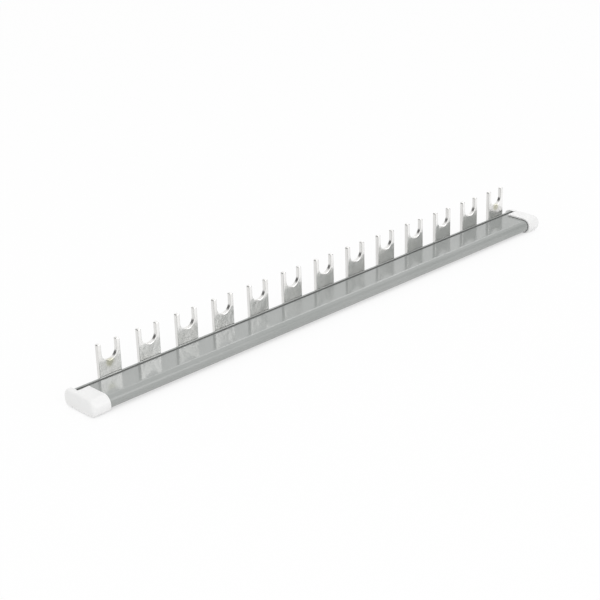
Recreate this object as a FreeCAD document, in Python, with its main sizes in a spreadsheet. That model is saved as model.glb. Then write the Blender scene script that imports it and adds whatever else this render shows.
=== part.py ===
import FreeCAD
import Part
import os
import math
import Sketcher

# Comb busbar for a row of thirteen one-module breakers, millimetres, Z up.
# The bar lies along X and rests on the undersides of its two end caps at Z = 0.
# The origin is the middle of its footprint. The forks stand up along the back
# edge (+Y) and the rounded front of the housing faces -Y.

os.makedirs("parts", exist_ok=True)
doc = FreeCAD.newDocument("comb_busbar")

# Driving sizes. Each one is a cell of the spreadsheet with its own alias.
SIZES = {
    # along the bar
    "module_pitch": 17.8,       # one breaker module, centre to centre of the forks
    "fork_count": 13,
    "first_fork": 19.2,         # left end of the bar to the middle of the first fork
    "last_fork": 12.4,          # middle of the last fork to the right end of the bar
    # copper comb
    "sheet_gauge": 1.6,         # thickness of the copper
    "bend_radius": 0.6,         # inside the right-angle bend
    "fork_width": 9.7,
    "fork_height": 12.2,        # tips above the rib of the housing
    "slot_width": 6.7,          # clear width between the two tines
    "slot_depth": 7.0,          # tip to the bottom of the U
    "tip_round": 0.5,           # outer corners of the tines
    "sheared_edge": 0.15,       # edge that the punch breaks on the front outline
    "strip_gap": 1.6,           # front edge of the strip to the front wall inside
    "strip_setback": 1.0,       # the strip stops short of the housing ends
    # housing profile
    "housing_depth": 15.8,
    "housing_height": 5.0,
    "housing_wall": 1.1,
    "heel_round": 1.6,          # lower back corner
    "heel_play": 0.05,          # top of the back upstand to the underside of the strip
    "rib_width": 1.0,           # raised rib along the back edge of the top
    "rib_height": 0.45,
    "rib_round": 0.2,
    "fork_gap": 0.1,            # rib to the front face of the forks
    "fork_inset": 0.1,          # back face of the forks inside the back of the housing
    "rail_width": 1.0,          # rails inside that hold the strip at mid height
    "rail_height": 0.6,
    "rail_spread": 3.2,         # middle of the bar to the middle of each rail
    "strip_play": 0.1,          # strip to the upper rails
    # end caps
    "cap_length": 7.4,
    "cap_wall": 0.8,
    "cap_play": 0.05,           # cap to housing, all round
    "cap_end_wall": 1.4,
    "cap_edge_round": 1.5,      # outer end edge
    "cap_mouth_round": 0.2,     # outer edge at the mouth
    "notch_length": 4.8,        # cut-out at the back of the mouth
    "notch_room": 2.8,          # its front side, in front of the forks
    "cut_over": 0.8,            # how far a cut runs past the surface it opens
}

sheet = doc.addObject("Spreadsheet::Sheet", "sizes")
row = 1
for alias, number in SIZES.items():
    sheet.set("A%d" % row, alias)
    sheet.set("B%d" % row, str(number))
    sheet.setAlias("B%d" % row, alias)
    row += 1
doc.recompute()


class Length:
    """A length in mm that carries its own formula on the spreadsheet."""

    def __init__(self, mm, formula):
        self.mm = mm
        self.formula = formula

    def __add__(self, other):
        return Length(self.mm + other.mm, "%s + %s" % (self.formula, other.formula))

    def __sub__(self, other):
        return Length(self.mm - other.mm, "%s - (%s)" % (self.formula, other.formula))

    def __neg__(self):
        return Length(-self.mm, "-(%s)" % self.formula)

    def __mul__(self, factor):
        return Length(self.mm * factor, "(%s) * %g" % (self.formula, factor))

    def __truediv__(self, divisor):
        return Length(self.mm / divisor, "(%s) / %g" % (self.formula, divisor))


def size(name):
    """One cell of the sheet as a length."""
    return Length(SIZES[name], "sizes." + name)


# Along the bar.
fork_span = Length((SIZES["fork_count"] - 1) * SIZES["module_pitch"],
                   "(sizes.fork_count - 1) * sizes.module_pitch")
bar_length = size("first_fork") + fork_span + size("last_fork")
left_end = -bar_length / 2
right_end = bar_length / 2
housing_left = left_end + size("cap_end_wall")
housing_length = bar_length - size("cap_end_wall") * 2
first_x = left_end + size("first_fork")                    # middle of the first fork

# Heights. The caps lie on the ground, and the housing sits inside them.
ground = Length(0.0, "0")
floor = size("cap_wall") + size("cap_play")                # underside of the housing
roof = floor + size("housing_height")                      # its flat top
mid_height = floor + size("housing_height") / 2
inner_floor = floor + size("housing_wall")
inner_roof = roof - size("housing_wall")
rib_top = roof + size("rib_height")
strip_low = inner_floor + size("rail_height")
strip_high = strip_low + size("sheet_gauge")
upper_rail = strip_high + size("strip_play")
bend_z = strip_high + size("bend_radius")                  # centre of the bend
heel_top = strip_low - size("heel_play")
fork_tip = rib_top + size("fork_height")

# Front to back.
back_y = size("housing_depth") / 2
inner_back = back_y - size("housing_wall")
front_y = size("housing_height") / 2 - back_y              # centre of the round front
inner_front = size("housing_wall") - back_y
fork_back = back_y - size("fork_inset")
fork_plane = fork_back - size("sheet_gauge")               # front face of the forks
bend_y = fork_plane - size("bend_radius")                  # centre of the bend
strip_front = inner_front + size("strip_gap")
rib_back = fork_plane - size("fork_gap")
rib_front = rib_back - size("rib_width")


def origin_plane(body, role):
    for feature in body.Origin.OriginFeatures:
        if feature.Role == role:
            return feature
    raise RuntimeError("no origin plane " + role)


def sketch_on(body, name, role, offset=None):
    """Sketch on one of the body's own origin planes, moved along its normal by offset."""
    sketch = body.newObject("Sketcher::SketchObject", name)
    sketch.AttachmentSupport = [(origin_plane(body, role), "")]
    sketch.MapMode = "FlatFace"
    if offset:
        sketch.setExpression(".AttachmentOffset.Base.z", offset.formula)
    doc.recompute()
    return sketch


def place_point(sketch, geometry, position, length, axis):
    """Fixes one coordinate of a point to a length measured from the origin."""
    if length is ground:
        # the point lies on the sketch's own axis
        across = -2 if axis == "x" else -1
        sketch.addConstraint(
            Sketcher.Constraint("PointOnObject", geometry, position, across))
        return
    kind = "DistanceX" if axis == "x" else "DistanceY"
    index = sketch.addConstraint(
        Sketcher.Constraint(kind, -1, 1, geometry, position, length.mm))
    sketch.setExpression("Constraints[%d]" % index, length.formula)


def corner(across, upward):
    """A corner that a straight side leaves."""
    return across, upward, None


def arc_from(across, upward, centre, pinned, turn):
    """A corner that an arc leaves. pinned is the coordinate of its centre that is
    dimensioned, "x" or "y", and turn is "left" for an arc that runs anticlockwise."""
    return across, upward, (centre, pinned, turn)


def outline(sketch, corners):
    """Closed outline. Every corner is dimensioned from the origin, and so is the centre
    of each arc."""
    count = len(corners)
    made = []
    for n, (across, upward, bow) in enumerate(corners):
        next_across, next_upward, _ = corners[(n + 1) % count]
        here = FreeCAD.Vector(across.mm, upward.mm, 0)
        there = FreeCAD.Vector(next_across.mm, next_upward.mm, 0)
        if bow is None:
            line = Part.LineSegment(here, there)
            made.append((sketch.addGeometry(line, False), 1, 2))
            continue
        middle, _, turn = bow
        centre = FreeCAD.Vector(middle[0].mm, middle[1].mm, 0)
        start = math.atan2(here.y - centre.y, here.x - centre.x)
        end = math.atan2(there.y - centre.y, there.x - centre.x)
        normal = FreeCAD.Vector(0, 0, 1)
        circle = Part.Circle(centre, normal, (here - centre).Length)
        if turn == "left":
            arc = Part.ArcOfCircle(circle, start, end)
            made.append((sketch.addGeometry(arc, False), 1, 2))
        else:
            arc = Part.ArcOfCircle(circle, end, start)
            made.append((sketch.addGeometry(arc, False), 2, 1))
    for n, (this, _, this_end) in enumerate(made):
        following, next_start, _ = made[(n + 1) % count]
        sketch.addConstraint(
            Sketcher.Constraint("Coincident", this, this_end, following, next_start))
    for (geometry, first, _), (across, upward, bow) in zip(made, corners):
        place_point(sketch, geometry, first, across, "x")
        place_point(sketch, geometry, first, upward, "y")
        if bow is not None:
            middle, pinned, _ = bow
            known = middle[0] if pinned == "x" else middle[1]
            place_point(sketch, geometry, 3, known, pinned)
    doc.recompute()
    return sketch


def pad(body, name, sketch, length, reverse=False):
    feature = body.newObject("PartDesign::Pad", name)
    feature.Profile = sketch
    feature.setExpression("Length", length.formula)
    feature.Reversed = reverse
    sketch.Visibility = False
    doc.recompute()
    return feature


def pocket(body, name, sketch, length, reverse=False):
    """Cuts and then makes sure that something was cut."""
    before = body.Shape.Volume
    feature = body.newObject("PartDesign::Pocket", name)
    feature.Profile = sketch
    feature.setExpression("Length", length.formula)
    feature.Reversed = reverse
    sketch.Visibility = False
    doc.recompute()
    if not body.Shape.Volume < before - 0.01:
        raise RuntimeError(name + " cuts nothing")
    return feature


def fillet(body, name, base, edges, radius):
    feature = body.newObject("PartDesign::Fillet", name)
    feature.Base = (base, edges)
    feature.setExpression("Radius", radius.formula)
    doc.recompute()
    return feature


# The comb: flat strip, then one fork (its bend and its upright), then the row of forks.
comb = doc.addObject("PartDesign::Body", "busbar_comb")
comb.Label = "busbar_comb"

strip_sketch = sketch_on(comb, "strip_section", "YZ_Plane",
                         housing_left + size("strip_setback"))
outline(strip_sketch, [
    corner(strip_front, strip_low),
    corner(bend_y, strip_low),
    corner(bend_y, strip_high),
    corner(strip_front, strip_high),
])
pad(comb, "flat_strip", strip_sketch, housing_length - size("strip_setback") * 2)

fork_left = first_x - size("fork_width") / 2
fork_right = first_x + size("fork_width") / 2
bend_sketch = sketch_on(comb, "bend_section", "YZ_Plane", fork_left)
bend_centre = (bend_y, bend_z)
outline(bend_sketch, [
    arc_from(bend_y, strip_low, bend_centre, "x", "left"),
    corner(fork_back, bend_z),
    arc_from(fork_plane, bend_z, bend_centre, "x", "right"),
    corner(bend_y, strip_high),
])
bend_pad = pad(comb, "fork_bend", bend_sketch, size("fork_width"))

fork_sketch = sketch_on(comb, "fork_outline", "XZ_Plane", -fork_plane)
slot_left = first_x - size("slot_width") / 2
slot_right = first_x + size("slot_width") / 2
slot_spring = fork_tip - size("slot_depth") + size("slot_width") / 2
shoulder = fork_tip - size("tip_round")
tip_right = fork_right - size("tip_round")
tip_left = fork_left + size("tip_round")
outline(fork_sketch, [
    corner(fork_left, bend_z),
    corner(fork_right, bend_z),
    arc_from(fork_right, shoulder, (tip_right, shoulder), "x", "left"),
    corner(tip_right, fork_tip),
    corner(slot_right, fork_tip),
    arc_from(slot_right, slot_spring, (first_x, slot_spring), "y", "right"),
    corner(slot_left, slot_spring),
    corner(slot_left, fork_tip),
    arc_from(tip_left, fork_tip, (tip_left, shoulder), "x", "left"),
    corner(fork_left, shoulder),
])
fork_pad = pad(comb, "fork_upright", fork_sketch, size("sheet_gauge"), reverse=True)

fork_row = comb.newObject("PartDesign::LinearPattern", "fork_row")
fork_row.Originals = [bend_pad, fork_pad]
fork_row.Direction = (strip_sketch, ["N_Axis"])
fork_row.Mode = "Spacing"
fork_row.setExpression("Offset", "sizes.module_pitch")
fork_row.setExpression("Occurrences", "sizes.fork_count")
comb.Tip = fork_row
doc.recompute()

# The punch breaks the edge on the side it enters: the front outline of each fork.
broken = []
for number, edge in enumerate(fork_row.Shape.Edges, start=1):
    box = edge.BoundBox
    on_front = abs(box.YMin - fork_plane.mm) < 1e-4 and box.YLength < 1e-4
    above_bend = box.ZMin > bend_z.mm - 1e-4
    if on_front and above_bend and (box.ZLength > 1e-3 or box.ZMin > shoulder.mm):
        broken.append("Edge%d" % number)
broken_edges = comb.newObject("PartDesign::Chamfer", "broken_edges")
broken_edges.Base = (fork_row, broken)
broken_edges.setExpression("Size", "sizes.sheared_edge")
comb.Tip = broken_edges
doc.recompute()


# The housing: one extrusion with its section drawn on the YZ plane. The list goes round
# the outside of the floor and the heel, back through the inside, and ends on the top.
housing = doc.addObject("PartDesign::Body", "profile_housing")
housing.Label = "profile_housing"
section = sketch_on(housing, "profile_section", "YZ_Plane", housing_left)
heel_y = back_y - size("heel_round")
heel_z = floor + size("heel_round")
heel_centre = (heel_y, heel_z)
front_centre = (front_y, mid_height)
rail_out = size("rail_spread") + size("rail_width") / 2
rail_in = size("rail_spread") - size("rail_width") / 2
rib_turn_y = rib_front + size("rib_round")
rib_turn_z = rib_top - size("rib_round")
outline(section, [
    corner(front_y, floor),
    arc_from(heel_y, floor, heel_centre, "x", "left"),
    corner(back_y, heel_z),
    corner(back_y, heel_top),
    corner(inner_back, heel_top),
    arc_from(inner_back, heel_z, heel_centre, "x", "right"),
    corner(heel_y, inner_floor),
    corner(rail_out, inner_floor),
    corner(rail_out, strip_low),
    corner(rail_in, strip_low),
    corner(rail_in, inner_floor),
    corner(-rail_in, inner_floor),
    corner(-rail_in, strip_low),
    corner(-rail_out, strip_low),
    corner(-rail_out, inner_floor),
    arc_from(front_y, inner_floor, front_centre, "x", "right"),
    corner(front_y, inner_roof),
    corner(-rail_out, inner_roof),
    corner(-rail_out, upper_rail),
    corner(-rail_in, upper_rail),
    corner(-rail_in, inner_roof),
    corner(rail_in, inner_roof),
    corner(rail_in, upper_rail),
    corner(rail_out, upper_rail),
    corner(rail_out, inner_roof),
    corner(rib_back, inner_roof),
    corner(rib_back, rib_top),
    arc_from(rib_turn_y, rib_top, (rib_turn_y, rib_turn_z), "x", "left"),
    corner(rib_front, rib_turn_z),
    corner(rib_front, roof),
    arc_from(front_y, roof, front_centre, "x", "left"),
])
pad(housing, "profile_length", section, housing_length)


def edges_at(feature, where):
    """Names of the edges that lie in the plane X = where."""
    names = []
    for number, edge in enumerate(feature.Shape.Edges, start=1):
        box = edge.BoundBox
        if abs(box.XMin - where.mm) < 1e-4 and abs(box.XMax - where.mm) < 1e-4:
            names.append("Edge%d" % number)
    return names


def rounded_bar(sketch, low, high, back, turn_y, turn_low, turn_high):
    """Outline with a half-round front and two rounded corners at the back."""
    return outline(sketch, [
        corner(front_y, low),
        arc_from(turn_y, low, (turn_y, turn_low), "x", "left"),
        corner(back, turn_low),
        arc_from(back, turn_high, (turn_y, turn_high), "x", "left"),
        corner(turn_y, high),
        arc_from(front_y, high, front_centre, "x", "left"),
    ])


def build_cap(name, end, mouth, inward):
    """One end cap. end and mouth are its two X positions, and inward is True where its
    length runs from the mouth towards -X."""
    body = doc.addObject("PartDesign::Body", name)
    body.Label = name
    skin = size("cap_play") + size("cap_wall")
    play = size("cap_play")
    turn_low = floor + size("heel_round")
    turn_high = roof - size("heel_round")

    outer = sketch_on(body, name + "_outer", "YZ_Plane", mouth)
    rounded_bar(outer, ground, roof + skin, back_y + skin, heel_y, turn_low, turn_high)
    block = pad(body, name + "_block", outer, size("cap_length"), reverse=inward)

    # rounded outer end and a small round at the mouth
    rounded = fillet(body, name + "_end_round", block, edges_at(block, end),
                     size("cap_edge_round"))
    fillet(body, name + "_mouth_round", rounded, edges_at(rounded, mouth),
           size("cap_mouth_round"))

    # socket for the profile, with room for its rib
    socket = sketch_on(body, name + "_socket", "YZ_Plane", mouth)
    rounded_bar(socket, floor - play, roof + play, back_y + play, heel_y,
                turn_low, turn_high)
    depth = size("cap_length") - size("cap_end_wall")
    pocket(body, name + "_socket_cut", socket, depth, reverse=not inward)
    groove = sketch_on(body, name + "_rib_room", "YZ_Plane", mouth)
    outline(groove, [
        corner(rib_front - play, strip_high),
        corner(rib_back + play, strip_high),
        corner(rib_back + play, rib_top + play),
        corner(rib_front - play, rib_top + play),
    ])
    pocket(body, name + "_rib_cut", groove, depth, reverse=not inward)

    # notch through the back of the mouth, so that the cap slides past the forks
    notch = sketch_on(body, name + "_notch", "XY_Plane", -size("cut_over"))
    notch_front = fork_plane - size("notch_room")
    past_back = back_y + skin + size("cut_over")
    if inward:
        inner_x = mouth - size("notch_length")
        past_mouth = mouth + size("cut_over")
    else:
        inner_x = mouth + size("notch_length")
        past_mouth = mouth - size("cut_over")
    outline(notch, [
        corner(inner_x, notch_front),
        corner(past_mouth, notch_front),
        corner(past_mouth, past_back),
        corner(inner_x, past_back),
    ])
    through = roof + skin + size("cut_over") * 2
    pocket(body, name + "_notch_cut", notch, through, reverse=True)
    return body


cap_left = build_cap("end_cap_left", left_end, left_end + size("cap_length"), True)
cap_right = build_cap("end_cap_right", right_end, right_end - size("cap_length"), False)

doc.recompute()

pieces = [comb, housing, cap_left, cap_right]
for thing in doc.Objects:
    if "Invalid" in thing.State or "Error" in thing.State:
        raise RuntimeError("not computed: " + thing.Name)
for body in pieces:
    if body.Shape.isNull() or not body.Shape.isValid():
        raise RuntimeError("bad shape: " + body.Label)
    if len(body.Shape.Solids) != 1:
        raise RuntimeError("not one solid: " + body.Label)

for body in pieces:
    body.Shape.exportStep("parts/%s.step" % body.Label)
    box = body.Shape.optimalBoundingBox(False, False)
    print("%-16s X %.2f..%.2f  Y %.2f..%.2f  Z %.2f..%.2f  volume %.1f" % (
        body.Label, box.XMin, box.XMax, box.YMin, box.YMax, box.ZMin, box.ZMax,
        body.Shape.Volume))
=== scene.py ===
# %% [markdown]
# # A comb busbar, dressed for its picture
# The part is a comb of tinned copper held in a grey plastic profile, with a white cap pushed
# onto each end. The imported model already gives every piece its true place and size. This
# lesson adds what the eye needs: soft edges, finishes, a studio and a camera. Shapes are
# worked out in millimetres, finishes and lights in metres, and MM turns one into the other.

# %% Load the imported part
import math
import bmesh
import bpy
import numpy as np
from mathutils import Matrix, Vector


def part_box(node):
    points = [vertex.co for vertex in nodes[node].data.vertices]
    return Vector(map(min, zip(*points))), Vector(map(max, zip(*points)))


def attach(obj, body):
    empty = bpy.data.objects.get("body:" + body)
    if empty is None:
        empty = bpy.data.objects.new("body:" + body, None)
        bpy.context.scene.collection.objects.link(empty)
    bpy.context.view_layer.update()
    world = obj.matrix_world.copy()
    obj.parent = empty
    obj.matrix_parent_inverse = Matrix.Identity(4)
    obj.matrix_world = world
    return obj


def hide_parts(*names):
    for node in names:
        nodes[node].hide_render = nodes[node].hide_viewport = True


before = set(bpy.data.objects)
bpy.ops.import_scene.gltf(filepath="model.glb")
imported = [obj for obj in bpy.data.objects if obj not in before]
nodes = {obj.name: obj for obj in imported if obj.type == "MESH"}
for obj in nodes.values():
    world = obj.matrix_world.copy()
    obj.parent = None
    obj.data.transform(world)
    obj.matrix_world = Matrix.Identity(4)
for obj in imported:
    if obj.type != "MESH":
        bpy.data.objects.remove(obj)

MM = 0.001
scene = bpy.context.scene
bpy.context.view_layer.update()
for name in sorted(nodes):
    low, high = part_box(name)
    extent = [round(v / MM, 2) for v in high - low]
    print(name, len(nodes[name].data.polygons), "faces,", extent, "mm")

# %% [markdown]
# ## Straight runs and turns
# Every piece here has an outline made of straight runs and arcs: the blank of the comb, the
# section of the profile, the end view of a cap. One way to draw such a line is to type its
# points. It is better to compute each run and each turn as an array, because then the line
# also knows its outward direction at every point. That direction is what soft edges need: a
# copy of the outline, moved inwards by a little, is the start of a rounded edge.

# %% Runs, turns and outlines
def run(start, end, count):
    """Points spaced evenly from start to end. The outward direction is the direction of
    travel turned a quarter to the right, so outlines are drawn anticlockwise."""
    start, end = np.array(start, float), np.array(end, float)
    along = (end - start) / np.linalg.norm(end - start)
    points = start + np.linspace(0, 1, count)[:, None] * (end - start)
    return points, np.tile([along[1], -along[0]], (count, 1))


def turn(centre, radius, begin, finish, count):
    """Points on an arc about centre from one angle to another, in degrees. Where the angle
    grows the metal is inside the arc and outward is away from the centre; where it shrinks
    the metal is outside and outward is towards the centre."""
    angle = np.radians(np.linspace(begin, finish, count))
    spoke = np.stack([np.cos(angle), np.sin(angle)], 1)
    side = 1.0 if finish > begin else -1.0
    return np.array(centre, float) + radius * spoke, side * spoke


def joined(*parts):
    """One outline from several runs and turns: their points and their outward directions."""
    return np.concatenate([p for p, _ in parts]), np.concatenate([o for _, o in parts])


def corners_rounded(corners, radii, count):
    """Closed polygon with each corner replaced by an arc that touches both of its sides.
    The tangent length is the radius times the tangent of half the turn, and the arc's
    points are its centre plus the first spoke turned by growing shares of the turn."""
    corners, radii = np.array(corners, float), np.array(radii, float)[:, None]
    arriving = corners - np.roll(corners, 1, 0)
    arriving /= np.linalg.norm(arriving, axis=1)[:, None]
    leaving = np.roll(arriving, -1, 0)
    cross = arriving[:, 0] * leaving[:, 1] - arriving[:, 1] * leaving[:, 0]
    bend = np.arctan2(cross, (arriving * leaving).sum(1))[:, None]
    left = np.stack([-arriving[:, 1], arriving[:, 0]], 1)
    begin = corners - arriving * radii * np.tan(np.abs(bend) / 2)
    centre = begin + np.sign(bend) * radii * left
    angle = bend * np.linspace(0, 1, count)
    cos, sin = np.cos(angle)[:, :, None], np.sin(angle)[:, :, None]
    spoke = -np.sign(bend) * left
    quarter_on = np.stack([-spoke[:, 1], spoke[:, 0]], 1)
    turned = spoke[:, None, :] * cos + quarter_on[:, None, :] * sin
    points = centre[:, None, :] + radii[:, :, None] * turned
    outward = turned * np.sign(bend)[:, :, None]
    return points.reshape(-1, 2), outward.reshape(-1, 2)


square, _ = corners_rounded([(0, 0), (1, 0), (1, 1), (0, 1)], [0.2] * 4, 9)
print("a rounded unit square has", len(square), "points, x from", square[:, 0].min(),
      "to", square[:, 0].max())

# %% [markdown]
# ## From rings to a mesh
# A piece is a stack of rings. Each ring has the same number of points, so the quads between
# two rings follow from plain index arithmetic. Flat ends are single faces with many corners,
# which keeps them truly flat in the light.

# %% Quads between rings, and the mesh itself
SHARP = math.radians(50)                      # corners above this stay sharp in the light


def ring_quads(rings, around):
    """Quads between neighbouring closed rings. Corner (i, j) has number i * around + j, and
    the last column closes on the first."""
    i, j = np.meshgrid(np.arange(rings - 1), np.arange(around), indexing="ij")
    k = (j + 1) % around
    quads = [i * around + j, i * around + k, (i + 1) * around + k, (i + 1) * around + j]
    return np.stack(quads, -1).reshape(-1, 4).tolist()


def make_piece(name, points, faces, material, stands_for):
    """Puts points, in millimetres, and faces into a mesh object that rides on the part.
    Each normal follows the largest face that meets there, so that flats stay flat and only
    the rounds turn the light."""
    mesh = bpy.data.meshes.new(name)
    mesh.from_pydata((np.asarray(points) * MM).tolist(), [], faces)
    mesh.polygons.foreach_set("use_smooth", np.ones(len(mesh.polygons), bool))
    mesh.set_sharp_from_angle(angle=SHARP)
    mesh.materials.append(material)
    mesh.update()
    piece = bpy.data.objects.new(name, mesh)
    scene.collection.objects.link(piece)
    flats_first = piece.modifiers.new("flats_first", "WEIGHTED_NORMAL")
    flats_first.mode, flats_first.weight, flats_first.keep_sharp = "FACE_AREA", 80, True
    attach(piece, "root")
    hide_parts(stands_for)
    extent = [round(v, 2) for v in np.ptp(points, axis=0)]
    print(name, len(mesh.polygons), "faces,", extent, "mm")
    return piece

# %% [markdown]
# ## Node helpers
# Each finish is a small graph of nodes. Wiring it by hand in the editor is quick for one
# finish, but a graph in code can be read and changed line by line. The helpers below save the
# typing. The first starts a finish and the second adds any node with its values and links.

# %% Helpers that start a finish and add nodes
def finish_named(name, color, roughness, metallic=0.0):
    """A new material, its node tree and its shader. The uniform values are set here, on the
    shader itself, so that they are there even where a pattern is laid over them later."""
    material = bpy.data.materials.new(name)
    material.use_nodes = True
    tree = material.node_tree
    tree.nodes.clear()
    out = tree.nodes.new("ShaderNodeOutputMaterial")
    shader = tree.nodes.new("ShaderNodeBsdfPrincipled")
    tree.links.new(shader.outputs["BSDF"], out.inputs["Surface"])
    shader.inputs["Base Color"].default_value = (*color, 1)
    shader.inputs["Roughness"].default_value = roughness
    shader.inputs["Metallic"].default_value = metallic
    shader.inputs["IOR"].default_value = 1.5
    material.diffuse_color = (*color, 1)
    return material, tree, shader


def add(tree, kind, values=None, links=None, **settings):
    """A node with its settings, its socket values and its incoming links."""
    node = tree.nodes.new("ShaderNode" + kind)
    for key, value in settings.items():
        setattr(node, key, value)
    for key, value in (values or {}).items():
        node.inputs[key].default_value = value
    for key, socket in (links or {}).items():
        tree.links.new(socket, node.inputs[key])
    return node


print("a finish is started by", finish_named.__name__, "and grows by", add.__name__)

# %% [markdown]
# Five steps come back in every finish: a noise, a range, a mix of two colours, a sum and a
# relief. Each gets a helper that takes sockets and gives one back, so that a finish reads like
# a short recipe.

# %% Helpers for patterns, sums and relief
def noise(tree, vector, scale, detail=3.0, stretch=(1, 1, 1)):
    """Noise with about scale features per metre, drawn out where stretch is under 1."""
    mapping = add(tree, "Mapping", {"Scale": stretch}, {"Vector": vector})
    node = add(tree, "TexNoise", {"Scale": scale, "Detail": detail},
               {"Vector": mapping.outputs["Vector"]})
    return node.outputs["Fac"]


def ranged(tree, value, low, high, out_low, out_high, smooth=False):
    """The value carried from the range low to high into the range out_low to out_high and
    held at its ends, on a straight line or, if smooth, on an S-shaped curve."""
    node = add(tree, "MapRange",
               {"From Min": low, "From Max": high, "To Min": out_low, "To Max": out_high},
               {"Value": value})
    node.interpolation_type = "SMOOTHSTEP" if smooth else "LINEAR"
    return node.outputs["Result"]


def mixed(tree, factor, first, second):
    """Colour mix: first at 0 and second at 1, each a colour or a socket."""
    node = add(tree, "Mix", links={"Factor": factor}, data_type="RGBA")
    for socket, source in ((node.inputs[6], first), (node.inputs[7], second)):
        if isinstance(source, tuple):
            socket.default_value = (*source, 1)
        else:
            tree.links.new(source, socket)
    return node.outputs[2]


def maths(tree, operation, first, second=0.0):
    """One sum with two numbers or sockets. Sums of one value leave the second alone."""
    node = add(tree, "Math", operation=operation)
    for socket, source in zip(node.inputs, (first, second)):
        if isinstance(source, float):
            socket.default_value = source
        else:
            tree.links.new(source, socket)
    return node.outputs[0]


def bumped(tree, shader, height, strength, distance):
    """Tilts the shader's normal as a relief of this height would."""
    node = add(tree, "Bump", {"Strength": strength, "Distance": distance}, {"Height": height})
    tree.links.new(node.outputs["Normal"], shader.inputs["Normal"])


print("steps:", ", ".join(step.__name__ for step in (noise, ranged, mixed, maths, bumped)))

# %% [markdown]
# ## Grey plastic
# The profile is extruded rigid plastic with a glossy skin. Extrusion leaves very fine lines
# along the bar and a slight unevenness that makes mirrored shapes waver, and handling leaves
# dull scuffs. So the roughness and the bump get a noise that is drawn out along X, and the
# colour only varies by a few percent.
#
# Three narrow lines of painted shade darken the colour: in front of the raised rib, at the lip of
# each cap, and low on the bar near the floor. They stand for the shadow in the corner by the rib,
# the shadow gap at the lip and the contact shadow near the floor. Light alone draws these too
# faintly at this size, so the colour paints soft dark lines that are tied to the place on the
# piece.

# %% The profile's finish
GREY_DARK, GREY, GREY_LIGHT = (0.322, 0.336, 0.326), (0.337, 0.350, 0.341), (0.352, 0.364, 0.355)
# the dark colour of the painted shade lines
SHADE_PAINT = (0.045, 0.045, 0.045)
LIP_X, RIB_Y = 0.1151, 0.00502                # m, where the lines at the caps and the rib lie

grey, tree, shader = finish_named("grey_plastic", GREY, 0.15)
here = add(tree, "TexCoord").outputs["Object"]
place = add(tree, "SeparateXYZ", links={0: here}).outputs
die_lines = noise(tree, here, 2600, 2, (0.004, 1, 1))
cloud = noise(tree, here, 45, 4)
waves = noise(tree, here, 60, 1, (0.5, 1, 1))
scuffs = noise(tree, here, 420, 6, (0.35, 1, 1))
shade = mixed(tree, ranged(tree, cloud, 0.3, 0.7, 0, 1), GREY_DARK, GREY_LIGHT)


def line_at(value, middle, core, edge, strength):
    """Soft line: full within core of the middle and gone beyond edge."""
    away = maths(tree, "ABSOLUTE", maths(tree, "SUBTRACT", value, middle))
    return ranged(tree, away, core, edge, strength, 0.0, True)


# painted shade: a dark line at the lip of each cap, where the shadow gap lies
at_lip = maths(tree, "MULTIPLY",
               line_at(maths(tree, "ABSOLUTE", place["X"]), LIP_X, 0.0001, 0.0003, 0.9),
               ranged(tree, place["Y"], 0.0028, 0.0034, 1.0, 0.0))
# painted shade: a dark line in the corner in front of the raised rib
at_rib = maths(tree, "MULTIPLY",
               line_at(place["Y"], RIB_Y, 0.00008, 0.00024, 1.0),
               ranged(tree, place["Z"], 0.0056, 0.0058, 0.0, 0.75))
# painted shade: darker low on the bar, where the contact shadow near the floor lies
near_floor = ranged(tree, place["Z"], 0.0013, 0.0021, 0.6, 0.0, True)
# all three painted shade lines, darkest where any of them is
painted_shade = maths(tree, "MAXIMUM", maths(tree, "MAXIMUM", at_lip, at_rib), near_floor)
tree.links.new(mixed(tree, painted_shade, shade, SHADE_PAINT), shader.inputs["Base Color"])

dull = maths(tree, "ADD", ranged(tree, scuffs, 0.55, 0.8, 0.0, 0.16),
             ranged(tree, die_lines, 0.3, 0.7, 0.10, 0.16))
tree.links.new(dull, shader.inputs["Roughness"])
relief = maths(tree, "ADD", maths(tree, "MULTIPLY", die_lines, 0.05),
               maths(tree, "MULTIPLY", waves, 0.9))
bumped(tree, shader, relief, 0.35, 0.0001)
print("grey_plastic:", len(tree.nodes), "nodes")

# %% [markdown]
# ## White plastic
# The caps are moulded, with a fine satin texture from the tool and hardly any gloss. A fine
# even noise does for the texture, and a wide one for the faint flow marks in the colour.

# %% The caps' finish
white, tree, shader = finish_named("white_plastic", (0.835, 0.835, 0.83), 0.36)
here = add(tree, "TexCoord").outputs["Object"]
grain = noise(tree, here, 5200, 2)
flow = noise(tree, here, 160, 3)
shade = mixed(tree, flow, (0.815, 0.815, 0.810), (0.845, 0.845, 0.843))
tree.links.new(shade, shader.inputs["Base Color"])
tree.links.new(ranged(tree, grain, 0.3, 0.7, 0.30, 0.42), shader.inputs["Roughness"])
bumped(tree, shader, grain, 0.25, 0.00002)
print("white_plastic:", len(tree.nodes), "nodes")

# %% [markdown]
# ## Tinned copper
# Tin plate on rolled strip is bright but not a mirror: rolling leaves streaks along the
# strip, the plating is cloudy, and the punched edges are duller than the faces. The streaks
# have to follow the metal round the bend, so this finish reads the comb's own UV map, which
# is the flat blank before bending. The edges are found with an attribute that the mesh
# carries, 1 on the punched rim and 0 on the rolled faces. The first and the last fork have a
# small olive stain under the slot.

# %% The comb's finish
PITCH, FORKS, FIRST = 17.8, 13, -103.4        # mm, FIRST is the middle of the first fork
LAST = FIRST + PITCH * (FORKS - 1)
TIN_BRIGHT, TIN_DULL, TIN_EDGE = (0.925, 0.92, 0.91), (0.87, 0.86, 0.84), (0.74, 0.735, 0.72)
STAIN = (0.50, 0.49, 0.34)

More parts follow.
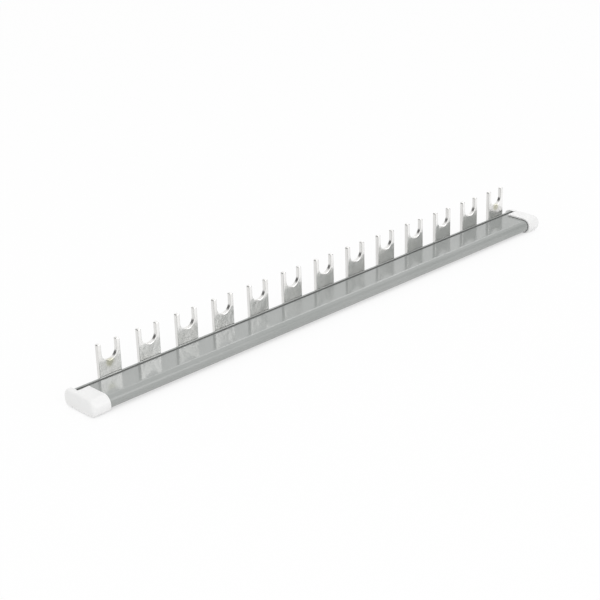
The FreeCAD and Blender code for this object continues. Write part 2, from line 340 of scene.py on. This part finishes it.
tin, tree, shader = finish_named("tinned_copper", (0.90, 0.895, 0.88), 0.2, metallic=1.0)
blank_uv = add(tree, "UVMap", uv_map="blank").outputs["UV"]
here = add(tree, "TexCoord").outputs["Object"]
rim = add(tree, "Attribute", attribute_name="punched").outputs["Fac"]
streaks = noise(tree, blank_uv, 3000, 3, (0.03, 1, 1))
cloud = noise(tree, here, 140, 4)
dents = noise(tree, here, 230, 2)
shade = mixed(tree, ranged(tree, cloud, 0.35, 0.7, 0, 1), TIN_BRIGHT, TIN_DULL)
shade = mixed(tree, maths(tree, "MULTIPLY", rim, 0.8), shade, TIN_EDGE)
for fork_middle in (FIRST, LAST):
    spot = add(tree, "VectorMath", links={0: here}, operation="DISTANCE")
    spot.inputs[1].default_value = (fork_middle * MM - 0.0002, 0.0062, 0.0108)
    ragged = maths(tree, "MULTIPLY", noise(tree, here, 900, 3), 0.0012)
    away = maths(tree, "ADD", spot.outputs["Value"], ragged)
    shade = mixed(tree, ranged(tree, away, 0.0013, 0.0031, 0.7, 0.0, True), shade, STAIN)
tree.links.new(shade, shader.inputs["Base Color"])
dull = maths(tree, "ADD", ranged(tree, cloud, 0.3, 0.75, 0.13, 0.24),
             maths(tree, "MULTIPLY", rim, 0.14))
tree.links.new(dull, shader.inputs["Roughness"])
relief = maths(tree, "ADD", maths(tree, "MULTIPLY", streaks, 0.12),
               maths(tree, "MULTIPLY", dents, 4.5))
bumped(tree, shader, relief, 0.5, 0.00006)
print("tinned_copper:", len(tree.nodes), "nodes, stains at x", FIRST, "and", round(LAST, 1))

# %% [markdown]
# ## The comb, first flat and then bent
# The real comb is punched from strip and then bent once, so the mesh is made the same way.
# First comes the outline of the flat blank: a long strip with thirteen forks. Then each of
# its points is carried through the thickness on a small profile that rolls over at the
# punched side. Last, one formula bends the whole sheet: the flat part stays, the middle part
# goes round a quarter circle, and what is beyond it stands upright.

# %% Outline of the flat blank
GAUGE, BEND = 1.6, 0.6                        # mm, sheet thickness and inside bend radius
HALF_FORK, HALF_SLOT, SLOT_DEPTH = 4.85, 3.35, 7.0
STRIP_END, STRIP_FRONT, STRIP_LOW = 120.2, -5.2, 2.55
BEND_Y, FORK_TIP = 5.6, 18.5                  # where the bend begins, height of the tips
OUTER, INNER, STRIP_ROUND = 0.5, 0.32, 0.35   # corner radii: tine outside, inside, strip
CORNER, ROWS = 5, 9                           # points on a small corner, rows in the bend

bend_start = BEND_Y - STRIP_FRONT
bend_length = (BEND + GAUGE / 2) * math.pi / 2
bend_end = bend_start + bend_length
bend_z = STRIP_LOW + GAUGE + BEND
tip = bend_end + FORK_TIP - bend_z
slot_centre = tip - SLOT_DEPTH + HALF_SLOT


def fork_side(x, upwards):
    """Side of a fork: a root with no radius, evenly spaced rows through the bend, and one
    straight run to the shoulder."""
    rows = run((x, bend_start), (x, bend_end), ROWS)
    rest = run((x, bend_end), (x, tip - OUTER), 4)
    if upwards:
        root = turn((x, bend_start), 0.0, 270, 180, CORNER)
        return joined(root, rows, (rest[0][1:], rest[1][1:]))
    root = turn((x, bend_start), 0.0, 360, 270, CORNER)
    (down, down_out), (bend, bend_out) = [(p[::-1], -o[::-1]) for p, o in (rest, rows)]
    return joined((down, down_out), (bend[1:], bend_out[1:]), root)


fork = joined(
    fork_side(HALF_FORK, True),
    turn((HALF_FORK - OUTER, tip - OUTER), OUTER, 0, 90, 7),
    turn((HALF_SLOT + INNER, tip - INNER), INNER, 90, 180, CORNER),
    turn((0, slot_centre), HALF_SLOT, 360, 180, 33),
    turn((-HALF_SLOT - INNER, tip - INNER), INNER, 0, 90, CORNER),
    turn((-HALF_FORK + OUTER, tip - OUTER), OUTER, 90, 180, 7),
    fork_side(-HALF_FORK, False))
per_fork = len(fork[0])
fork_x = FIRST + PITCH * np.arange(FORKS)[::-1]      # right to left, as the outline runs
fork_points = fork[0] + np.stack([fork_x, np.zeros(FORKS)], 1)[:, None, :]
fork_outward = np.tile(fork[1], (FORKS, 1, 1))

left, right = -STRIP_END + STRIP_ROUND, STRIP_END - STRIP_ROUND
blank = joined(
    turn((left, STRIP_ROUND), STRIP_ROUND, 180, 270, CORNER),
    turn((right, STRIP_ROUND), STRIP_ROUND, 270, 360, CORNER),
    turn((right, bend_start - STRIP_ROUND), STRIP_ROUND, 0, 90, CORNER),
    (fork_points.reshape(-1, 2), fork_outward.reshape(-1, 2)),
    turn((left, bend_start - STRIP_ROUND), STRIP_ROUND, 90, 180, CORNER))
around = len(blank[0])
print("blank:", around, "points,", per_fork, "on each fork, tip at", round(tip, 2),
      "mm from the front edge")

# %% [markdown]
# The edge profile goes from the burr side, which ends up at the back of the forks, to the
# side where the punch entered, where the edge is drawn over in a soft round. It could be a
# bevel, but a bevel is the same on both sides of the sheet, and a punched edge is not.
#
# Two skins close the sheet. Each is cut along the two lines of the bend, into the strip, a
# row of quads through the bend of each fork, and the plate of each fork, so that the flat
# parts stay flat.

# %% The bend and the rim
def bent(s, t, n):
    """Place in space of a point of the blank. s runs along the bar, t away from the front
    edge and n through the sheet from its lower side. Up to the bend y grows with t. In the
    bend the angle is the share of its length times a quarter turn, and the radius is the
    outside one less n. Beyond it z grows with t."""
    angle = np.clip((t - bend_start) / bend_length, 0, 1) * math.pi / 2
    radius = BEND + GAUGE - n
    y = STRIP_FRONT + np.minimum(t, bend_start) + radius * np.sin(angle)
    z = bend_z - radius * np.cos(angle) + np.maximum(t - bend_end, 0)
    return np.stack([s, y, z], -1)


edge_profile = np.array([                     # inset from the outline, depth from the burr side
    (0.07, 0.0), (0.02, 0.02), (0.0, 0.07), (0.0, 0.45), (0.0, 1.0), (0.0, 1.25),
    (0.03, 1.40), (0.09, 1.50), (0.18, 1.565), (0.30, 1.60)])
inset, depth = edge_profile[:, 0, None], edge_profile[:, 1, None]
flat_s = blank[0][:, 0] - inset * blank[1][:, 0]
flat_t = blank[0][:, 1] - inset * blank[1][:, 1]
rings = bent(flat_s, flat_t, depth + 0 * flat_s)
rim_faces = ring_quads(len(edge_profile), around)
print("rim:", len(edge_profile), "rings,", len(rim_faces), "quads")

# %% The two skins
before = 3 * CORNER                           # points of the outline before the first fork
starts = before + per_fork * np.arange(FORKS)[:, None]
ends = starts + per_fork
bend_right = starts + CORNER + np.arange(ROWS)
bend_left = ends - 1 - CORNER - np.arange(ROWS)
plates = starts + np.arange(CORNER + ROWS - 1, per_fork - CORNER - ROWS + 1)
roots = np.concatenate([starts + np.arange(CORNER + 1), ends + np.arange(-CORNER - 1, 0)], 1)
strip = np.concatenate([np.arange(before), roots.ravel(), np.arange(around - CORNER, around)])
bend_quads = np.stack(
    [bend_right[:, :-1], bend_right[:, 1:], bend_left[:, 1:], bend_left[:, :-1]], -1).reshape(-1, 4)
top_ring = (len(edge_profile) - 1) * around   # number of the first point of the last ring
upper_skin = [(strip + top_ring).tolist()] + (plates + top_ring).tolist()
lower_skin = [strip[::-1].tolist()] + plates[:, ::-1].tolist()
bend_faces = (bend_quads + top_ring).tolist() + bend_quads[:, ::-1].tolist()
comb = make_piece("comb", rings.reshape(-1, 3), rim_faces + bend_faces + upper_skin + lower_skin,
                  tin, "busbar_comb")

# %% [markdown]
# The UV map is the blank itself, and the rim attribute is set for the rings that lie on the
# edge. Both are written for whole arrays at once. Where two runs share an end, and at the
# roots, which have no radius, several points lie on one place, so a weld makes them one.

# %% UV map, rim attribute and weld of the comb
WELD = 1e-7                                   # m, far less than the smallest step of the rim
mesh = comb.data
corner_vertex = np.empty(len(mesh.loops), int)
mesh.loops.foreach_get("vertex_index", corner_vertex)
layout = np.stack([flat_s.ravel(), flat_t.ravel()], 1) * MM
mesh.uv_layers.new(name="blank").data.foreach_set("uv", layout[corner_vertex].ravel())
edge_depth = edge_profile[:, 1]
on_rim = np.repeat((edge_depth > 0.03) & (edge_depth < 1.56), around).astype(float)
mesh.attributes.new("punched", "FLOAT", "POINT").data.foreach_set("value", on_rim)
weld = bmesh.new()
weld.from_mesh(mesh)
bmesh.ops.remove_doubles(weld, verts=weld.verts, dist=WELD)
weld.to_mesh(mesh)
weld.free()
print("rim share of the points:", round(on_rim.mean(), 2), "and", len(mesh.vertices),
      "points after the weld")

# %% [markdown]
# ## The profile
# An extrusion is one section carried along a straight path, so two rings are enough. What
# makes it look real is that no corner of a real die is sharp: every corner gets a radius,
# and the light then draws a thin line along each edge. The section runs once round the
# outside and then along the inside, past four rails that hold the strip.

# %% The section of the profile
FLOOR, ROOF, BACK, SKIN = 0.85, 5.85, 7.9, 1.1          # mm: lower and upper side, half depth, wall
NOSE, NOSE_INSIDE, HEEL = 2.5, 1.4, 1.6                 # large radii
EDGE, HEEL_INSIDE, FINE, ROOT, RIB_EDGE = 0.15, 0.5, 0.12, 0.05, 0.2   # and small ones
SHY = 0.01      # the second of two arcs on a short side is smaller by this, so they don't meet
RAIL_NEAR, RAIL_FAR = 2.7, 3.7
HEEL_TOP, RAIL_LOW, RAIL_HIGH = STRIP_LOW - 0.05, STRIP_LOW, STRIP_LOW + GAUGE + 0.1
RIB_FRONT, RIB_BACK, RIB_TOP = 5.1, 6.1, 6.3
inner_y, inner_low, inner_high = BACK - SKIN, FLOOR + SKIN, ROOF - SKIN


def rail(y_from, y_to, wall, top):
    """Corners (y, z, radius) of one rail on a wall, in the order in which the line meets them."""
    return [(y_from, wall, ROOT), (y_from, top, FINE), (y_to, top, FINE), (y_to, wall, ROOT)]


section = [
    # outside: the round front, the lower side, the heel and the underside of the opening
    (-BACK, FLOOR, NOSE), (BACK, FLOOR, HEEL), (BACK, HEEL_TOP, EDGE), (inner_y, HEEL_TOP, EDGE),
    (inner_y, inner_low, HEEL_INSIDE),
    # the lower rails, the inside of the front, the upper rails
    *rail(RAIL_FAR, RAIL_NEAR, inner_low, RAIL_LOW),
    *rail(-RAIL_NEAR, -RAIL_FAR, inner_low, RAIL_LOW),
    (-inner_y, inner_low, NOSE_INSIDE), (-inner_y, inner_high, NOSE_INSIDE - SHY),
    *rail(-RAIL_FAR, -RAIL_NEAR, inner_high, RAIL_HIGH),
    *rail(RAIL_NEAR, RAIL_FAR, inner_high, RAIL_HIGH),
    # the lip with its raised rib, and back over the flat top
    (RIB_BACK, inner_high, EDGE), (RIB_BACK, RIB_TOP, RIB_EDGE), (RIB_FRONT, RIB_TOP, RIB_EDGE),
    (RIB_FRONT, ROOF, FINE), (-BACK, ROOF, NOSE - SHY)]
line, _ = corners_rounded([(y, z) for y, z, _ in section], [r for _, _, r in section], 13)
count = len(line)
print("section:", len(section), "corners,", count, "points")

# %% The extruded profile
low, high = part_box("profile_housing")
rings = np.empty((2, count, 3))
rings[:, :, 0] = np.array([low.x, high.x])[:, None] / MM
rings[:, :, 1:] = line
loop = np.arange(count)
end_faces = [loop[::-1].tolist(), (loop + count).tolist()]
make_piece("profile", rings.reshape(-1, 3), ring_quads(2, count) + end_faces,
           grey, "profile_housing")

# %% [markdown]
# ## The end caps
# A cap is a thin moulding that is open at one end. It could be cut out of a block, but cuts
# leave ragged edges. A moulding is one skin of even thickness, so it is made as one sheet
# that is wrapped round the end view of the bar. Flat, the sheet has one free edge, the mouth,
# and that edge steps back where the notch lets the cap slide past the forks. Its rounded lip
# then follows the step by itself.

# %% The end view of the caps
CAP, WALL, END_WALL, END_ROUND = 7.4, 0.8, 1.4, 1.5       # mm: length, walls, closed end's round
CAP_Y, CAP_TOP, CAP_FRONT, CAP_BACK = 8.75, 6.7, 3.35, 2.45   # half depth, height, corner radii
NOTCH, NOTCH_Y = 4.8, 3.4                                 # length, and where its front side is

end_view, end_outward = corners_rounded(
    [(-CAP_Y, 0.0), (CAP_Y, 0.0), (CAP_Y, CAP_TOP), (-CAP_Y, CAP_TOP)],
    [CAP_FRONT, CAP_BACK, CAP_BACK, CAP_FRONT - 0.001], 25)
middle = np.argmax(end_view[:, 0])                        # start in the middle of the back
end_view, end_outward = np.roll(end_view, -middle, 0), np.roll(end_outward, -middle, 0)
end_view = np.concatenate([end_view, end_view[:1]])
end_outward = np.concatenate([end_outward, end_outward[:1]])
steps = np.linalg.norm(np.diff(end_view, axis=0), axis=1)
girth = np.concatenate([[0], np.cumsum(steps)])           # distance travelled round the view


def on_view(w):
    """Point of the end view and its outward direction at the distance w round it."""
    w = np.mod(w, girth[-1])
    point = np.stack([np.interp(w, girth, end_view[:, k]) for k in (0, 1)], -1)
    outward = np.stack([np.interp(w, girth, end_outward[:, k]) for k in (0, 1)], -1)
    return point, outward / np.linalg.norm(outward, axis=-1)[..., None]


def girth_at(y, upper):
    """Distance round the view at which its flat top or flat bottom passes y."""
    fine = np.linspace(0, girth[-1], 20001)
    point, _ = on_view(fine)
    flat = point[:, 1] > CAP_TOP - 0.01 if upper else point[:, 1] < 0.01
    return fine[np.argmin(np.where(flat, np.abs(point[:, 0] - y), 99))]


print("end view:", len(end_view), "points,", round(girth[-1], 2), "mm round")

# %% [markdown]
# The mouth is a line on the flat sheet, with w round the bar and x along it, 0 at the mouth.
# At the two sides of the notch it turns a rounded corner outwards and another inwards. On the
# straight parts it keeps the points of the end view, so that the wall stays smooth. Where the
# rib of the profile passes the closed part of the cap, the wall is thinner, and each side of
# that groove gets two points close together.

# %% The line of the mouth
NOTCH_ROUND, MOUTH_ROUND, GROOVE = 0.3, 0.2, (6.15, 4.05)  # mm, GROOVE is its back and front y
STEP, CORNER_GAP = 0.02, 0.05

top_cut, low_cut = girth_at(NOTCH_Y, True), girth_at(NOTCH_Y, False)
groove = [girth_at(y + gap, True) for y in GROOVE for gap in (STEP, -STEP)]
own = girth[1:-1]
behind, beside = NOTCH_ROUND + CORNER_GAP, MOUTH_ROUND + CORNER_GAP
back_stops = np.sort(np.concatenate([own[own < top_cut - behind], groove]))
front_stops = own[(own > top_cut + beside) & (own < low_cut - beside)]
last_stops = own[own > low_cut + behind]


def straight(stops, x):
    """Part of the mouth at a constant x, with its outward direction towards smaller x."""
    return np.stack([stops, np.full(len(stops), x)], 1), np.tile([0.0, -1.0], (len(stops), 1))


MEET = MOUTH_ROUND + 0.002        # a hair more than the radius, so the two corners don't meet
mouth = joined(
    straight(back_stops, NOTCH),
    turn((top_cut - NOTCH_ROUND, NOTCH - NOTCH_ROUND), NOTCH_ROUND, 90, 0, 6),
    turn((top_cut + MEET, MOUTH_ROUND), MOUTH_ROUND, 180, 270, 6),
    straight(front_stops, 0.0),
    turn((low_cut - MEET, MOUTH_ROUND), MOUTH_ROUND, 270, 360, 6),
    turn((low_cut + NOTCH_ROUND, NOTCH - NOTCH_ROUND), NOTCH_ROUND, 180, 90, 6),
    straight(last_stops, NOTCH))
print("mouth:", len(mouth[0]), "points, notch between", round(low_cut, 2), "and",
      round(top_cut, 2), "mm")

# %% [markdown]
# The lip is a profile again: inset from the free edge and depth into the wall. On the
# outside the sheet runs on to the closed end and turns in over a quarter round; on the inside
# it runs to the floor of the socket. Two flat faces, the closed end and the floor, finish it.

# %% Wrap the sheet round the end view
LIP_OUTSIDE = [(0.20, 0.0), (0.10, 0.027), (0.027, 0.10), (0.0, 0.20)]    # inset, depth in mm
LIP_INSIDE = [(0.0, 0.65), (0.0, 0.9), (0.08, 1.0)]                # inset, share of the wall
THINNER = 0.45                                                     # mm, at the groove


def cap(name, node, side):
    """One cap. Every point has a distance w round the view, a distance x from the mouth and
    a depth below the outside. Its place across the bar is the point of the end view at w less
    the depth times the outward direction there. side is -1 for the left and 1 for the right."""
    w, x = mouth[0][:, 0], mouth[0][:, 1]
    thin = (w > groove[1] - 0.001) & (w < groove[2] + 0.001)
    wall = np.where(thin, WALL - THINNER, WALL)

    quarter = np.radians(np.linspace(90, 0, 13))[:, None]
    round_x = CAP - END_ROUND + END_ROUND * np.sin(quarter) + 0 * w
    round_depth = END_ROUND * (1 - np.cos(quarter)) + 0 * w

    inset = np.array([i for i, _ in LIP_OUTSIDE + LIP_INSIDE])[:, None]
    lip_depth = np.vstack([[d + 0 * w for _, d in LIP_OUTSIDE], [s * wall for _, s in LIP_INSIDE]])
    w_all = np.vstack([0 * round_x + w, w - inset * mouth[1][:, 0], w])
    x_all = np.vstack([round_x, x - inset * mouth[1][:, 1], 0 * x + CAP - END_WALL])
    depth_all = np.vstack([round_depth, lip_depth, wall])

    point, outward = on_view(w_all)
    across = point - depth_all[..., None] * outward
    low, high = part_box(node)
    closed_end = max(abs(low.x), abs(high.x)) / MM
    along = side * (closed_end - CAP + x_all)
    points = np.concatenate([along[..., None], across], -1).reshape(-1, 3)

    rings, count = w_all.shape
    loop = np.arange(count)
    quads = ring_quads(rings, count)
    flats = [loop[::-1].tolist(), (loop + (rings - 1) * count).tolist()]
    if side > 0:                     # the mirrored cap turns its faces the other way round
        quads, flats = [q[::-1] for q in quads], [f[::-1] for f in flats]
    make_piece(name, points, quads + flats, white, node)


cap("cap_left", "end_cap_left", -1)
cap("cap_right", "end_cap_right", 1)

# %% [markdown]
# ## The camera
# The camera was fitted to the photograph: the fork pitch is a known length that repeats
# twelve times, which fixes the place of the camera and the length of its lens. It stands to
# the left and in front of the bar and looks down on it.

# %% Camera
AZIMUTH, ELEVATION, ROLL = 43.709, 23.071, -1.752          # degrees
CAMERA_PLACE = (-0.38058, -0.38053, 0.23256)               # m
FOCAL_PIXELS, FRAME_PIXELS = 1489.3, 600

azimuth, elevation, roll = np.radians([AZIMUTH, ELEVATION, ROLL])
ahead = Vector((math.sin(azimuth) * math.cos(elevation), math.cos(azimuth) * math.cos(elevation),
                -math.sin(elevation)))
level = ahead.cross(Vector((0, 0, 1))).normalized()
upright = level.cross(ahead)
right = math.cos(roll) * level + math.sin(roll) * upright
up = math.cos(roll) * upright - math.sin(roll) * level
camera = bpy.data.objects.new("camera", bpy.data.cameras.new("camera"))
facing = Matrix((right, up, -ahead)).transposed().to_4x4()
camera.matrix_world = Matrix.Translation(CAMERA_PLACE) @ facing
camera.data.lens = FOCAL_PIXELS / FRAME_PIXELS * camera.data.sensor_width
camera.data.clip_start, camera.data.clip_end = 0.01, 50
scene.collection.objects.link(camera)
scene.camera = camera
print("lens", round(camera.data.lens, 1), "mm on a", camera.data.sensor_width, "mm sensor")

# %% [markdown]
# ## The white set
# The photograph has a white floor that runs into a white background. A floor that is lit to
# pure white would also wash out the part, so the floor is a plain pale sheet in the light
# and partly glows, for the camera and in mirrors. Where the air above it is closed in, close
# to the bar, it glows less, and there the true shadow of the part shows.

# %% Floor
FLOOR_HALF = 6.0                                           # m
OPEN_GLOW, CLOSED_GLOW, REACH = 0.87, 0.55, 0.004          # REACH is how far it looks, in m


def white_rays(tree):
    """1 for rays from the camera or through something clear, and the outputs for every kind."""
    rays = add(tree, "LightPath").outputs
    return maths(tree, "MAXIMUM", rays["Is Camera Ray"], rays["Is Transmission Ray"]), rays


floor_mesh = bpy.data.meshes.new("floor")
square_corners = ((-1, -1), (1, -1), (1, 1), (-1, 1))
floor_corners = [(x * FLOOR_HALF, y * FLOOR_HALF, 0) for x, y in square_corners]
floor_mesh.from_pydata(floor_corners, [], [(0, 1, 2, 3)])
floor = bpy.data.objects.new("floor", floor_mesh)
scene.collection.objects.link(floor)

paper = bpy.data.materials.new("white_paper")
paper.use_nodes = True
tree = paper.node_tree
tree.nodes.clear()
seen, rays = white_rays(tree)
seen = maths(tree, "MAXIMUM", seen, rays["Is Glossy Ray"])
sheet = add(tree, "BsdfDiffuse", {"Color": (0.92, 0.92, 0.92, 1)})
glow = add(tree, "Emission", {"Color": (1, 1, 1, 1), "Strength": 1.0})
near = add(tree, "AmbientOcclusion", {"Distance": REACH}, samples=12)
open_air = ranged(tree, near.outputs["AO"], 0.0, 0.6, CLOSED_GLOW, OPEN_GLOW, True)
blend = add(tree, "MixShader", links={0: maths(tree, "MULTIPLY", seen, open_air),
                                      1: sheet.outputs[0], 2: glow.outputs[0]})
add(tree, "OutputMaterial", links={"Surface": blend.outputs[0]})
floor_mesh.materials.append(paper)
print("floor:", 2 * FLOOR_HALF, "m wide,", len(tree.nodes), "nodes")

# %% [markdown]
# ## The light
# What shiny metal looks like is mostly what stands around it. The forks and the grey skin
# show a white room with two dark sides, one low at the right and one wide at the back left,
# a bright stand at the front right, and a small bright box behind and above, which draws the
# stripe on the round front of the profile. Real panels could stand there, but a room in the
# world shader adds no noise and never gets in the camera's way.
#
# The world has three answers. Matt surfaces get an even level, mirrors see the room, and the
# camera sees plain white. Two soft lamps, which mirrors and the camera don't see, shape the
# matt surfaces.

# %% The room that mirrors see
MATT_LEVEL, ROOM_LEVEL = 0.85, 1.08
ROOM = [
    # azimuth, elevation, full within and gone beyond these angles, strength added
    (54, 38, 3, 11, 2.2),            # small box behind and above
    (155, 25, 9, 20, 2.2),           # bright stand at the front right
    (121, 20, 14, 23, -0.9),         # dark gap beside it
    (-50, 14, 22, 44, -0.98)]        # dark side at the back left


def room_direction(azimuth_deg, elevation_deg):
    """Unit vector, with azimuth 0 along +Y and 90 along +X."""
    a, e = math.radians(azimuth_deg), math.radians(elevation_deg)
    return (math.sin(a) * math.cos(e), math.cos(a) * math.cos(e), math.sin(e))


world = bpy.data.worlds.new("studio")
scene.world = world
world.use_nodes = True
tree = world.node_tree
tree.nodes.clear()
way = add(tree, "TexCoord").outputs["Generated"]


def patch(direction, inner, outer, strength):
    """Soft round patch of the room: full within the inner angle and gone at the outer."""
    near = add(tree, "VectorMath", links={0: way}, operation="DOT_PRODUCT")
    near.inputs[1].default_value = direction
    outer_cos, inner_cos = math.cos(math.radians(outer)), math.cos(math.radians(inner))
    return ranged(tree, near.outputs["Value"], outer_cos, inner_cos, 0.0, strength, True)


room = ROOM_LEVEL
for azimuth_deg, elevation_deg, inner, outer, strength in ROOM:
    toward = room_direction(azimuth_deg, elevation_deg)
    room = maths(tree, "ADD", room, patch(toward, inner, outer, strength))
seen, rays = white_rays(tree)
level_all = add(tree, "Mix", {"A": MATT_LEVEL}, {"Factor": rays["Is Glossy Ray"], "B": room})
brightness = add(tree, "Mix", {"B": 1.0}, {"Factor": seen, "A": level_all.outputs["Result"]})
back = add(tree, "Background", {"Color": (1, 1, 1, 1)}, {"Strength": brightness.outputs["Result"]})
add(tree, "OutputWorld", links={"Surface": back.outputs[0]})
print("studio:", len(ROOM), "patches,", len(tree.nodes), "nodes")

# %% Two soft lamps
LAMP_DISTANCE = 1.8                                        # m


def softbox(name, direction, size, power):
    """Rectangular lamp that faces the middle of the bar."""
    data = bpy.data.lights.new(name, "AREA")
    data.shape, data.size, data.size_y, data.energy = "RECTANGLE", size[0], size[1], power
    lamp = bpy.data.objects.new(name, data)
    lamp.location = Vector(direction) * LAMP_DISTANCE
    lamp.rotation_euler = (-lamp.location).to_track_quat("-Z", "Y").to_euler()
    lamp.visible_camera = lamp.visible_glossy = False
    scene.collection.objects.link(lamp)
    print(name, "at", [round(v, 2) for v in lamp.location], "m,", power, "W")


softbox("front_softbox", room_direction(205, 35), (1.3, 0.9), 6.5)
softbox("top_softbox", room_direction(20, 80), (1.1, 1.1), 3.2)
scene.view_settings.view_transform = "Standard"

# %% [markdown]
# ## The last update
# The view layer is brought up to date once more. The dressed part has to stay inside the
# box of the imported one.

# %% The last update
bpy.context.view_layer.update()
